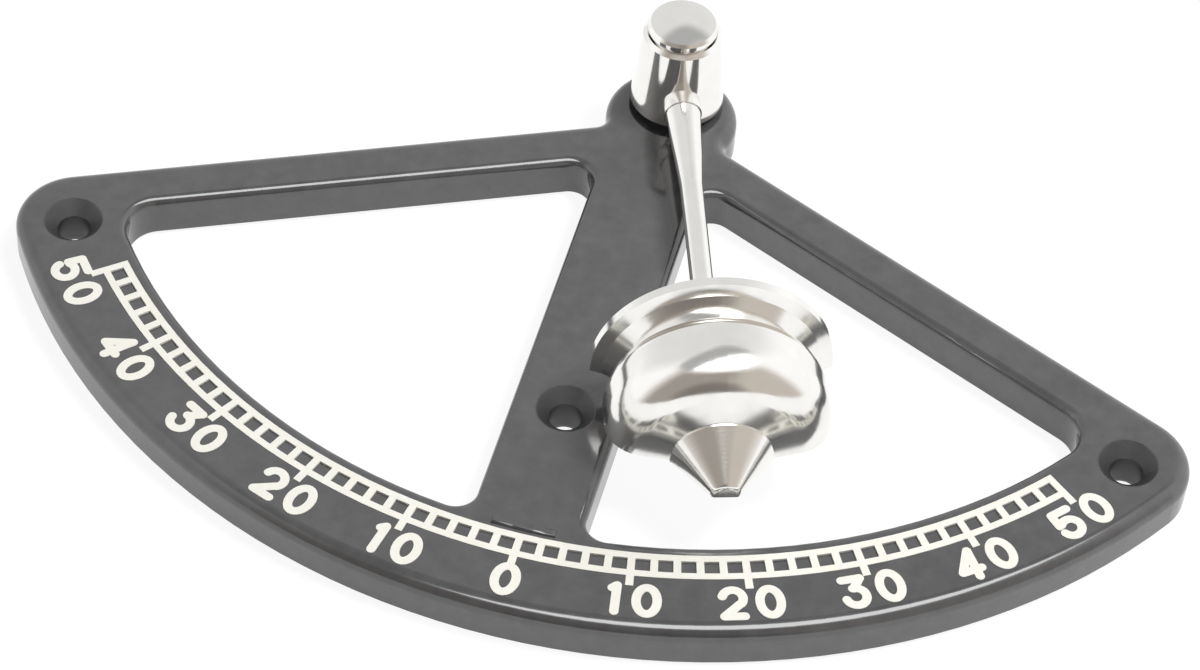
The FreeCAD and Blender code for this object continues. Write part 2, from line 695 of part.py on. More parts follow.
def build_bob():
    """Turned weight: flange with a thin lip, groove, rounded drum and shallow cone end, cut flat at the back."""
    body = new_body("bob", hangs=True)
    rod_hole = f"({ROD_SPIGOT} + Sizes.seat_clearance)"
    rod_hole_floor = f"({FLANGE_TOP} + Sizes.rod_spigot_length + Sizes.seat_clearance)"
    pointer_hole = "(Sizes.pointer_spigot_radius + Sizes.seat_clearance)"
    pointer_hole_floor = f"({DRUM_END} - Sizes.pointer_spigot_length - Sizes.seat_clearance)"
    stations = [
        (rod_hole_floor, "0"),
        (rod_hole_floor, rod_hole),
        (FLANGE_TOP, rod_hole),
        (FLANGE_TOP, "Sizes.collar_radius"),
        (LIP_START, "Sizes.flange_radius"),
        (LIP_END, "Sizes.flange_radius"),
        (f"({LIP_END} + Sizes.lip_bevel_length)", "(Sizes.flange_radius - Sizes.lip_bevel_width)"),
        (f"({DRUM_START} - Sizes.neck_lead)", "Sizes.neck_radius"),
        (DRUM_START, "Sizes.drum_radius"),
        (DRUM_RIM, "Sizes.drum_radius"),
        (DRUM_END, "Sizes.pointer_base_radius"),
        (DRUM_END, pointer_hole),
        (pointer_hole_floor, pointer_hole),
        (pointer_hole_floor, "0"),
    ]
    rounds = {8: "Sizes.shoulder_round", 9: "Sizes.drum_end_round"}
    profile = new_sketch(body, "bob_profile", "YZ_Plane")
    add_polygon(profile, [(f"-{station}", radius) for station, radius in stations], rounds=rounds)
    revolve(body, "turning", profile, "H_Axis")
    cut_flat_back(body, f"{FLANGE_TOP} - 1", f"{DRUM_END} + 1")


def build_pointer():
    """Blunt cone that reads the scale, on a spigot in the bob's end."""
    body = new_body("pointer", hangs=True)
    root = f"({DRUM_END} - Sizes.pointer_spigot_length)"
    rim = f"({DRUM_END} + Sizes.pointer_rim)"
    stations = [
        (root, "0"),
        (root, "Sizes.pointer_spigot_radius"),
        (DRUM_END, "Sizes.pointer_spigot_radius"),
        (DRUM_END, "Sizes.pointer_base_radius"),
        (rim, "Sizes.pointer_base_radius"),
        (POINTER_TIP, "Sizes.pointer_tip_radius"),
        (POINTER_TIP, "0"),
    ]
    profile = new_sketch(body, "pointer_profile", "YZ_Plane")
    add_polygon(profile, [(f"-{station}", radius) for station, radius in stations], rounds={5: "Sizes.pointer_tip_round"})
    revolve(body, "cone", profile, "H_Axis")
    cut_flat_back(body, f"{root} - 1", f"{POINTER_TIP} + 1")


def build_rings():
    """Washers and bearing bush, all about the pivot axis."""
    spigot_bore = "Sizes.stud_spigot_radius + Sizes.seat_clearance"
    outer = f"{NUT_CORNER} + Sizes.rear_washer_overhang"
    bottom = "Sizes.nut_setback + Sizes.nut_thickness"
    build_ring("rear_washer", spigot_bore, outer, bottom, "Sizes.rear_washer_thickness")
    outer = "Sizes.hub_base_radius - Sizes.base_washer_inset"
    build_ring("base_washer", WASHER_BORE, outer, FACE, "Sizes.base_washer_thickness")
    outer = "Sizes.cap_radius - Sizes.cap_washer_inset"
    build_ring("cap_washer", WASHER_BORE, outer, CAP_WASHER_BOTTOM, "Sizes.cap_washer_thickness")
    build_ring("hub_bush", WASHER_BORE, HUB_BORE, HUB_BOTTOM, "Sizes.hub_length")


def check_and_write():
    """Stop on a failed object or a bad shape, then write one file for each piece."""
    doc.recompute()
    failed = [item.Name for item in doc.Objects if "Invalid" in item.State or "Error" in item.State]
    if failed:
        raise RuntimeError(f"failed objects: {failed}")
    bodies = [item for item in doc.Objects if item.TypeId == "PartDesign::Body"]
    for body in bodies:
        if body.Shape.isNull() or not body.Shape.isValid() or len(body.Shape.Solids) != 1:
            raise RuntimeError(f"bad shape: {body.Label}")
    os.makedirs("parts", exist_ok=True)
    for body in bodies:
        body.Shape.exportStep(f"parts/{body.Label}.step")
        print(f"{body.Label}: {body.Shape.Volume:.2f} mm3")


build_frame()
build_graduation_ladder()
build_rings()
build_pivot_stud()
build_rear_nut()
build_pivot_cap()
build_pendulum_hub()
build_pendulum_rod()
build_bob()
build_pointer()
check_and_write()
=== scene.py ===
"""Looks, numerals and photographic set for a pendulum inclinometer lying on its back."""

import logging
import math
from dataclasses import dataclass, field
from enum import Enum

import bmesh
import bpy
from mathutils import Matrix, Vector
from mathutils.geometry import delaunay_2d_cdt


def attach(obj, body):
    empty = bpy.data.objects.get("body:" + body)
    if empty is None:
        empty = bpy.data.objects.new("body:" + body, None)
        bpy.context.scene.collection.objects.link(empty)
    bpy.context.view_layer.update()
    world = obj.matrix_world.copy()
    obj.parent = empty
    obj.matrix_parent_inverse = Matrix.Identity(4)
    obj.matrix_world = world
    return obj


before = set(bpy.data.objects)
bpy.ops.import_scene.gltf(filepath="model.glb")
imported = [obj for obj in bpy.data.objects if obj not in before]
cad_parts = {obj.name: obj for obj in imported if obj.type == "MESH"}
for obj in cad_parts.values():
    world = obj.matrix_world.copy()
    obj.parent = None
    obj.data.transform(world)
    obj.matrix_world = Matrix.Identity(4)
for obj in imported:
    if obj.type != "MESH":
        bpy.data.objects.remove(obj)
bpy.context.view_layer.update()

log = logging.getLogger("inclinometer")

MM = 0.001
FRAME_BODY = "frame_set"
PIVOT = Vector((0.0, 60.9, 0.0)) * MM
FACE_HEIGHT = 6.4 * MM
ROD_HEIGHT = 11.5 * MM
REST_ANGLE = math.radians(18.4)
FULL_TURN = 360.0
HALF_TURN = 180.0
# The wave texture runs 20 radians over one unit of its vector.
WAVE_TURN = math.tau / 20.0
WHITE = "#ffffff"
CHROME_BRIGHT = "#f8f7f5"
CHROME_DULL = "#ecebe7"

Pair = tuple[float, float]
Place = tuple[float, float, float]
Direction = tuple[float, float, float]


class TurnedAbout(Enum):
    """Axis that a bright piece was turned and polished about."""

    PIVOT = "pivot"
    ROD = "rod"


class Reading(Enum):
    """Numbers painted along the scale, the left half counted negative."""

    FIFTY_LEFT = -50
    FORTY_LEFT = -40
    THIRTY_LEFT = -30
    TWENTY_LEFT = -20
    TEN_LEFT = -10
    ZERO = 0
    TEN_RIGHT = 10
    TWENTY_RIGHT = 20
    THIRTY_RIGHT = 30
    FORTY_RIGHT = 40
    FIFTY_RIGHT = 50


def linear(code: str) -> tuple[float, float, float, float]:
    """Turn an sRGB hex colour to linear values.

    Args:
        code: Six hex digits after a hash sign.

    Returns:
        Linear red, green and blue, and full alpha.
    """
    channels = [int(code[start:start + 2], 16) / 255 for start in (1, 3, 5)]
    red, green, blue = (c / 12.92 if c <= 0.04045 else ((c + 0.055) / 1.055) ** 2.4 for c in channels)
    return red, green, blue, 1.0


def per_metre(size_mm: float) -> float:
    """Texture scale that repeats once in a real size given in millimetres."""
    return 1.0 / (size_mm * MM)


def add_node(
    tree: bpy.types.NodeTree, kind: str, settings: dict | None = None, **links: object
) -> bpy.types.Node:
    """Add one node with its settings and its inputs.

    Args:
        tree: Node tree that takes the node.
        kind: Blender's name of the node type.
        settings: Attributes of the node, by name.
        **links: Inputs by name, with underscores for spaces, or in_N for an input by number. A socket is
            linked, and anything else is set as the input's value.

    Returns:
        The new node.
    """
    node = tree.nodes.new(kind)
    for name, setting in (settings or {}).items():
        setattr(node, name, setting)
    for name, given in links.items():
        key = int(name[3:]) if name.startswith("in_") else name.replace("_", " ")
        if isinstance(given, bpy.types.NodeSocket):
            tree.links.new(given, node.inputs[key])
        else:
            node.inputs[key].default_value = given
    return node


def new_material(name: str) -> tuple[bpy.types.Material, bpy.types.NodeTree]:
    """Make a material with an empty node tree.

    Args:
        name: Name of the real material.

    Returns:
        The material and its node tree.
    """
    material = bpy.data.materials.new(name)
    material.use_nodes = True
    material.node_tree.nodes.clear()
    return material, material.node_tree


def dress(obj: bpy.types.Object, material: bpy.types.Material) -> None:
    """Give an object one material all over, and report it.

    Args:
        obj: The piece.
        material: Its finish.
    """
    obj.data.materials.clear()
    obj.data.materials.append(material)
    log.info("dressed %s in %s", obj.name, material.name)


@dataclass(frozen=True)
class BlackEnamel:
    """Stove enamel sprayed on a casting: grey-black under a hard gloss, with a faint orange peel, and shade
    painted darker into its countersinks.
    """

    film: str = "#38383a"
    thin_film: str = "#59595a"
    mottle_mm: float = 2.6
    mottle_detail: float = 4.0
    peel_mm: float = 1.3
    peel_detail: float = 2.0
    peel_depth_mm: float = 0.012
    peel_strength: float = 0.35
    gloss_low: float = 0.07
    gloss_high: float = 0.14
    # Plain paint has 1.5. This is raised until the face mirrors as much as the photograph shows.
    ior: float = 1.85
    # Painted shade: the dark colour given to the countersinks stands for the shade that falls in them.
    pooled: str = "#1d1d1f"
    pooled_gloss: float = 0.5
    hole_places_mm: tuple[Pair, ...] = ((0.0, 0.0), (73.6, 12.9), (-73.6, 12.9))
    hole_reach_mm: Pair = (4.2, 3.8)
    hole_floor_mm: Pair = (0.1, 0.5)

    def add_holes(self, tree: bpy.types.NodeTree, place: bpy.types.NodeSocket) -> bpy.types.NodeSocket:
        """Mark the three countersinks, where shade is painted into the enamel.

        Args:
            tree: Node tree of the material.
            place: Socket with the place on the frame.

        Returns:
            Socket that is 1 in a countersink and 0 elsewhere.
        """
        flat = add_node(
            tree, "ShaderNodeVectorMath", {"operation": "MULTIPLY"}, in_0=place, in_1=(1.0, 1.0, 0.0)
        ).outputs["Vector"]
        reaches = [
            add_node(
                tree, "ShaderNodeVectorMath", {"operation": "DISTANCE"},
                in_0=flat, in_1=(across * MM, up * MM, 0.0),
            ).outputs["Value"]
            for across, up in self.hole_places_mm
        ]
        nearest = reaches[0]
        for reach in reaches[1:]:
            nearest = add_node(
                tree, "ShaderNodeMath", {"operation": "MINIMUM"}, in_0=nearest, in_1=reach
            ).outputs[0]
        outer, inner = self.hole_reach_mm
        within = add_node(
            tree, "ShaderNodeMapRange", Value=nearest, From_Min=outer * MM, From_Max=inner * MM
        )
        # The painted shade stays off the flat back round the holes, where the film is the same as the rest.
        low, high = self.hole_floor_mm
        height = add_node(tree, "ShaderNodeSeparateXYZ", Vector=place)
        raised = add_node(
            tree, "ShaderNodeMapRange", Value=height.outputs["Z"], From_Min=low * MM, From_Max=high * MM
        )
        return add_node(
            tree, "ShaderNodeMath", {"operation": "MULTIPLY"},
            in_0=within.outputs["Result"], in_1=raised.outputs["Result"],
        ).outputs[0]

    def build(self) -> bpy.types.Material:
        """Build the enamel.

        Returns:
            The finished material.
        """
        material, tree = new_material("black_stove_enamel")
        place = add_node(tree, "ShaderNodeTexCoord").outputs["Object"]
        # The film is thinner where it ran off the casting's skin, so its black is not quite even.
        mottle = add_node(
            tree, "ShaderNodeTexNoise",
            Vector=place, Scale=per_metre(self.mottle_mm), Detail=self.mottle_detail,
        )
        face_colour = add_node(
            tree, "ShaderNodeMix", {"data_type": "RGBA"},
            in_0=mottle.outputs["Fac"], in_6=linear(self.film), in_7=linear(self.thin_film),
        )
        face_gloss = add_node(
            tree, "ShaderNodeMapRange",
            Value=mottle.outputs["Fac"], To_Min=self.gloss_low, To_Max=self.gloss_high,
        )
        # The countersinks are painted darker, as painted shade for the shade that falls in these recesses,
        # and they are made duller than the face. That film pooled there is a guess.
        holes = self.add_holes(tree, place)
        colour = add_node(
            tree, "ShaderNodeMix", {"data_type": "RGBA"},
            in_0=holes, in_6=face_colour.outputs[2], in_7=linear(self.pooled),
        )
        gloss = add_node(
            tree, "ShaderNodeMix", in_0=holes, in_2=face_gloss.outputs["Result"], in_3=self.pooled_gloss
        )
        # Sprayed enamel dries with a skin like an orange's, which breaks the mirrored edges a little.
        peel = add_node(
            tree, "ShaderNodeTexNoise",
            Vector=place, Scale=per_metre(self.peel_mm), Detail=self.peel_detail,
        )
        bump = add_node(
            tree, "ShaderNodeBump",
            Strength=self.peel_strength, Distance=self.peel_depth_mm * MM, Height=peel.outputs["Fac"],
        )
        shader = add_node(
            tree, "ShaderNodeBsdfPrincipled",
            Base_Color=colour.outputs[2], Roughness=gloss.outputs[0], IOR=self.ior,
            Normal=bump.outputs["Normal"],
        )
        add_node(tree, "ShaderNodeOutputMaterial", Surface=shader.outputs["BSDF"])
        return material


@dataclass(frozen=True)
class IvoryPaint:
    """Brushed-in ivory filling paint: warm, even, half matt, with a slightly uneven surface."""

    paint: str = "#fcfbf4"
    shade: str = "#f2efe3"
    patch_mm: float = 2.5
    patch_detail: float = 3.0
    ripple_mm: float = 0.5
    ripple_detail: float = 1.0
    ripple_depth_mm: float = 0.02
    ripple_strength: float = 0.3
    roughness: float = 0.45
    ior: float = 1.5

    def build(self) -> bpy.types.Material:
        """Build the paint.

        Returns:
            The finished material.
        """
        material, tree = new_material("ivory_filling_paint")
        place = add_node(tree, "ShaderNodeTexCoord").outputs["Object"]
        # Filling paint settles unevenly, so it is a touch darker in places.
        patch = add_node(
            tree, "ShaderNodeTexNoise",
            Vector=place, Scale=per_metre(self.patch_mm), Detail=self.patch_detail,
        )
        colour = add_node(
            tree, "ShaderNodeMix", {"data_type": "RGBA"},
            in_0=patch.outputs["Fac"], in_6=linear(self.paint), in_7=linear(self.shade),
        )
        # The brush leaves low ripples, which soften the paint's shine.
        ripple = add_node(
            tree, "ShaderNodeTexNoise",
            Vector=place, Scale=per_metre(self.ripple_mm), Detail=self.ripple_detail,
        )
        bump = add_node(
            tree, "ShaderNodeBump",
            Strength=self.ripple_strength, Distance=self.ripple_depth_mm * MM, Height=ripple.outputs["Fac"],
        )
        shader = add_node(
            tree, "ShaderNodeBsdfPrincipled",
            Base_Color=colour.outputs[2], Roughness=self.roughness, IOR=self.ior,
            Normal=bump.outputs["Normal"],
        )
        add_node(tree, "ShaderNodeOutputMaterial", Surface=shader.outputs["BSDF"])
        return material


@dataclass(frozen=True)
class TurnedMetal:
    """Metal turned in a lathe: fine rings about one axis that draw the reflections out along it."""

    name: str
    bright: str
    dull: str
    about: TurnedAbout
    roughness_low: float
    roughness_high: float
    ring_pitch_mm: float = 0.45
    ring_depth_mm: float = 0.003
    ring_strength: float = 0.25
    ring_wobble: float = 0.4
    ring_detail: float = 2.0
    haze_mm: float = 3.0
    haze_detail: float = 4.0

    def build(self) -> bpy.types.Material:
        """Build the metal.

        Returns:
            The finished material.
        """
        material, tree = new_material(self.name)
        place = add_node(tree, "ShaderNodeTexCoord").outputs["Object"]
        on_rod = self.about is TurnedAbout.ROD
        lathe = add_node(
            tree, "ShaderNodeMapping", {"vector_type": "TEXTURE"},
            Vector=place, Location=PIVOT + Vector((0.0, 0.0, ROD_HEIGHT if on_rod else 0.0)),
            Rotation=(0.0, 0.0, REST_ANGLE if on_rod else 0.0),
        )
        # The rings a cutting tool leaves are drawn wider than real ones, which would be too fine to show.
        rings = add_node(
            tree, "ShaderNodeTexWave",
            {"bands_direction": "Y" if on_rod else "Z", "wave_profile": "SIN"},
            Vector=lathe.outputs["Vector"], Scale=per_metre(self.ring_pitch_mm) * WAVE_TURN,
            Distortion=self.ring_wobble, Detail=self.ring_detail,
        )
        # Handling and polish leave the metal a little hazier in some places than in others.
        haze = add_node(
            tree, "ShaderNodeTexNoise",
            Vector=place, Scale=per_metre(self.haze_mm), Detail=self.haze_detail,
        )
        colour = add_node(
            tree, "ShaderNodeMix", {"data_type": "RGBA"},
            in_0=haze.outputs["Fac"], in_6=linear(self.bright), in_7=linear(self.dull),
        )
        roughness = add_node(
            tree, "ShaderNodeMapRange",
            Value=haze.outputs["Fac"], To_Min=self.roughness_low, To_Max=self.roughness_high,
        )
        bump = add_node(
            tree, "ShaderNodeBump",
            Strength=self.ring_strength, Distance=self.ring_depth_mm * MM, Height=rings.outputs["Fac"],
        )
        shader = add_node(
            tree, "ShaderNodeBsdfPrincipled",
            Base_Color=colour.outputs[2], Metallic=1.0, Roughness=roughness.outputs["Result"],
            Normal=bump.outputs["Normal"],
        )
        add_node(tree, "ShaderNodeOutputMaterial", Surface=shader.outputs["BSDF"])
        return material


@dataclass
class DigitPen:
    """Pen that writes the scale's digits, in millimetres from the middle of the digit's foot."""

    stroke: float = 1.2
    height: float = 5.4
    reach: float = 1.35
    half_turn_steps: int = 16
    tip_steps: int = 20
    one_stem: float = 0.85
    one_flag: float = 0.25
    one_flag_drop: float = 0.5
    two_hook: Pair = (165.0, -38.0)
    two_neck: float = 0.95
    two_neck_drop: float = 2.2
    two_foot_inset: float = 0.1
    three_top_inset: Pair = (0.1, 0.15)
    three_waist_drop: float = 0.05
    three_bowl: Pair = (95.0, -170.0)
    four_stem: Pair = (0.5, 0.75)
    four_stem_drop: float = 0.1
    four_bar: float = 1.7
    five_top_inset: Pair = (0.15, 0.1)
    five_stem_inset: float = 0.05
    five_stem_foot: float = 0.9
    five_bowl: Pair = (135.0, -165.0)
    patches: list[list[Vector]] = field(default_factory=list)

    def line(self, start: Pair, end: Pair) -> None:
        """Draw a straight stroke between two points."""
        self.ribbon([Vector(start), Vector(end)], closed=False)

    def arc(self, centre: Pair, radii: Pair, start: float, end: float) -> None:
        """Draw part of an ellipse.

        Args:
            centre: Middle of the ellipse.
            radii: Its half width and half height.
            start: First angle in degrees.
            end: Last angle in degrees. A full turn closes the stroke.
        """
        sweep = end - start
        closed = abs(sweep) >= FULL_TURN
        count = max(2, round(abs(sweep) / HALF_TURN * self.half_turn_steps))
        angles = [math.radians(start + sweep * step / count) for step in range(count + (not closed))]
        middle = Vector(centre)
        path = [middle + Vector((radii[0] * math.cos(a), radii[1] * math.sin(a))) for a in angles]
        self.ribbon(path, closed)

    def ribbon(self, path: list[Vector], closed: bool) -> None:
        """Lay the pen's width along a path, with round ends where it is open.

        Args:
            path: Points of the stroke's middle line.
            closed: Whether the last point joins the first.
        """
        count = len(path)
        half = self.stroke / 2
        sides = []
        for number, point in enumerate(path):
            before = path[number - 1] if number or closed else point
            after = path[(number + 1) % count] if number < count - 1 or closed else point
            along = (after - before).normalized()
            across = Vector((-along.y, along.x)) * half
            sides.append((point + across, point - across))
        for number in range(count if closed else count - 1):
            left, right = sides[number]
            next_left, next_right = sides[(number + 1) % count]
            self.patches.append([right, next_right, next_left, left])
        if not closed:
            turns = [math.tau * step / self.tip_steps for step in range(self.tip_steps)]
            for tip in (path[0], path[-1]):
                self.patches.append([tip + Vector((math.cos(a), math.sin(a))) * half for a in turns])

    def write(self, digit: str) -> list[list[Vector]]:
        """Write one digit.

        Args:
            digit: The character, from 0 to 5.

        Returns:
            Overlapping flat patches that cover the digit.
        """
        self.patches = []
        low, high = self.stroke / 2, self.height - self.stroke / 2
        middle = self.height / 2
        reach = self.reach
        bowl = (0.0, low + reach)
        if digit == "0":
            self.arc((0.0, middle), (reach, high - middle), 0.0, FULL_TURN)
        elif digit == "1":
            self.line((self.one_stem, low), (self.one_stem, high))
            self.line((self.one_stem, high), (self.one_flag, high - self.one_flag_drop))
        elif digit == "2":
            foot = (-reach + self.two_foot_inset, low)
            self.arc((0.0, high - reach), (reach, reach), *self.two_hook)
            self.line((self.two_neck, high - self.two_neck_drop), foot)
            self.line(foot, (reach, low))
        elif digit == "3":
            left_inset, right_inset = self.three_top_inset
            corner = (reach - right_inset, high)
            self.line((-reach + left_inset, high), corner)
            self.line(corner, (0.0, low + 2 * reach - self.three_waist_drop))
            self.arc(bowl, (reach, reach), *self.three_bowl)
        elif digit == "4":
            stem_foot, stem_head = self.four_stem
            bar_end = (-reach, self.four_bar)
            self.line((stem_foot, low - self.four_stem_drop), (stem_head, high))
            self.line((stem_head, high), bar_end)
            self.line(bar_end, (reach, self.four_bar))
        else:
            left_inset, right_inset = self.five_top_inset
            corner = (-reach + left_inset, high)
            self.line(corner, (reach - right_inset, high))
            self.line(corner, (-reach + self.five_stem_inset, low + reach + self.five_stem_foot))
            self.arc(bowl, (reach, reach), *self.five_bowl)
        return self.patches


@dataclass
class Numerals:
    """Painted numbers along the outside of the ladder scale, their heads towards the pivot."""

    head_radius_mm: float = 88.1
    digit_step: float = math.radians(1.52)
    end_pull: float = math.radians(0.3)
    thickness_mm: float = 0.1
    sink_mm: float = 0.03
    # The triangulation keeps what lies inside the strokes, and joins points nearer than this.
    keep_inside: int = 1
    join_mm: float = 1e-5
    pen: DigitPen = field(default_factory=DigitPen)

    def place(self, point: Vector, angle: float, height: float) -> Vector:
        """Move a point of a digit to its place on the dial.

        Args:
            point: Point of the digit in millimetres from the middle of its foot.
            angle: Angle of the digit from the spoke, positive to the right.
            height: Height above the frame's back in metres.

        Returns:
            The point in the row frame, in metres.
        """
        outward = Vector((math.sin(angle), -math.cos(angle), 0.0))
        along = Vector((math.cos(angle), math.sin(angle), 0.0))
        radius = (self.head_radius_mm + self.pen.height - point.y) * MM
        flat = PIVOT + outward * radius + along * (point.x * MM)
        return Vector((flat.x, flat.y, height))

    def add_digit(self, mesh: bmesh.types.BMesh, digit: str, angle: float) -> None:
        """Add one digit as a thin closed plate of paint.

        Args:
            mesh: Mesh that takes the digit.
            digit: The character.
            angle: Its angle on the dial.
        """
        patches = self.pen.write(digit)
        points = [point for patch in patches for point in patch]
        faces, first = [], 0
        for patch in patches:
            faces.append(list(range(first, first + len(patch))))
            first += len(patch)
        corners, _, pieces, _, _, sources = delaunay_2d_cdt(
            points, [], faces, self.keep_inside, self.join_mm
        )
        inside = [piece for piece, source in zip(pieces, sources) if source]
        low = FACE_HEIGHT - self.sink_mm * MM
        high = FACE_HEIGHT + self.thickness_mm * MM
        under = [mesh.verts.new(self.place(corner, angle, low)) for corner in corners]
        over = [mesh.verts.new(self.place(corner, angle, high)) for corner in corners]
        open_edges: dict[tuple[int, int], bool] = {}
        for piece in inside:
            mesh.faces.new([over[number] for number in piece])
            mesh.faces.new([under[number] for number in reversed(piece)])
            for start, end in zip(piece, piece[1:] + piece[:1]):
                if (end, start) in open_edges:
                    del open_edges[end, start]
                else:
                    open_edges[start, end] = True
        for start, end in open_edges:
            mesh.faces.new([under[start], under[end], over[end], over[start]])

    def build(self, paint: bpy.types.Material) -> None:
        """Paint every number of the scale.

        Args:
            paint: Finish of the numbers.
        """
        for reading in Reading:
            mesh = bmesh.new()
            text = str(abs(reading.value))
            angle = math.radians(reading.value)
            if reading in (Reading.FIFTY_LEFT, Reading.FIFTY_RIGHT):
                # The last numbers are set a little towards the middle, clear of the screw holes.
                angle -= math.copysign(self.end_pull, angle)
            shifts = [0.0] if len(text) == 1 else [-self.digit_step, self.digit_step]
            for digit, shift in zip(text, shifts):
                self.add_digit(mesh, digit, angle + shift)
            loose = [vertex for vertex in mesh.verts if not vertex.link_faces]
            bmesh.ops.delete(mesh, geom=loose, context="VERTS")
            name = f"numeral_{reading.name.lower()}"
            data = bpy.data.meshes.new(name)
            mesh.to_mesh(data)
            mesh.free()
            number = bpy.data.objects.new(name, data)
            bpy.context.scene.collection.objects.link(number)
            dress(number, paint)
            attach(number, FRAME_BODY)


@dataclass
class DialFrame:
    """Enamelled casting with its ladder scale and numbers."""

    enamel: BlackEnamel = field(default_factory=BlackEnamel)
    paint: IvoryPaint = field(default_factory=IvoryPaint)
    numerals: Numerals = field(default_factory=Numerals)

    def build(self) -> None:
        """Dress the casting and the scale, and paint the numbers."""
        dress(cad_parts["frame"], self.enamel.build())
        paint = self.paint.build()
        dress(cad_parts["graduation_ladder"], paint)
        self.numerals.build(paint)


@dataclass
class PivotPost:
    """Stud, washers, nut, bush, barrel and cap about the pivot axis."""

    # Chrome over a polished turning: nearly a mirror, warm white, with the lathe's rings just felt.
    plating: TurnedMetal = TurnedMetal(
        "bright_chrome_plate_post", CHROME_BRIGHT, CHROME_DULL, TurnedAbout.PIVOT,
        roughness_low=0.06, roughness_high=0.14,
    )
    # Ground steel: neutral grey and satin, because the wheel leaves fine scratches.
    ground_steel: TurnedMetal = TurnedMetal(
        "ground_steel", "#b9babc", "#a3a4a6", TurnedAbout.PIVOT,
        roughness_low=0.22, roughness_high=0.34,
    )
    # Zinc plate: bluish grey and dull, with a cloudy shine.
    zinc_plate: TurnedMetal = TurnedMetal(
        "zinc_plated_steel", "#c4c6c8", "#a8abaf", TurnedAbout.PIVOT,
        roughness_low=0.28, roughness_high=0.45,
    )
    # Turned brass: warm yellow and half bright, as it comes from the lathe.
    turned_brass: TurnedMetal = TurnedMetal(
        "turned_brass", "#d8b25c", "#c39d4a", TurnedAbout.PIVOT,
        roughness_low=0.15, roughness_high=0.28,
    )

    def build(self) -> None:
        """Dress every piece that stands on the pivot axis."""
        plating = self.plating.build()
        for node in ("pendulum_hub", "base_washer", "cap_washer", "pivot_cap"):
            dress(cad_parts[node], plating)
        dress(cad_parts["pivot_stud"], self.ground_steel.build())
        zinc = self.zinc_plate.build()
        for node in ("rear_washer", "rear_nut"):
            dress(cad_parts[node], zinc)
        dress(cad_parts["hub_bush"], self.turned_brass.build())


@dataclass
class Pendulum:
    """Rod, turned weight and pointer."""

    # Chrome over a turned weight: nearly a mirror, a little softer than the post's.
    plating: TurnedMetal = TurnedMetal(
        "bright_chrome_plate_pendulum", CHROME_BRIGHT, CHROME_DULL, TurnedAbout.ROD,
        roughness_low=0.08, roughness_high=0.18,
    )

    def build(self) -> None:
        """Dress the pieces along the rod."""
        plating = self.plating.build()
        for node in ("pendulum_rod", "bob", "pointer"):
            dress(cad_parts[node], plating)


@dataclass(frozen=True)
class Zone:
    """Part of the surround that lies towards one direction.

    The edge holds the cosine of the angle at which the zone starts, and the one at which it is full.
    """

    middle: Direction
    edge: Pair
    both_sides: bool = False


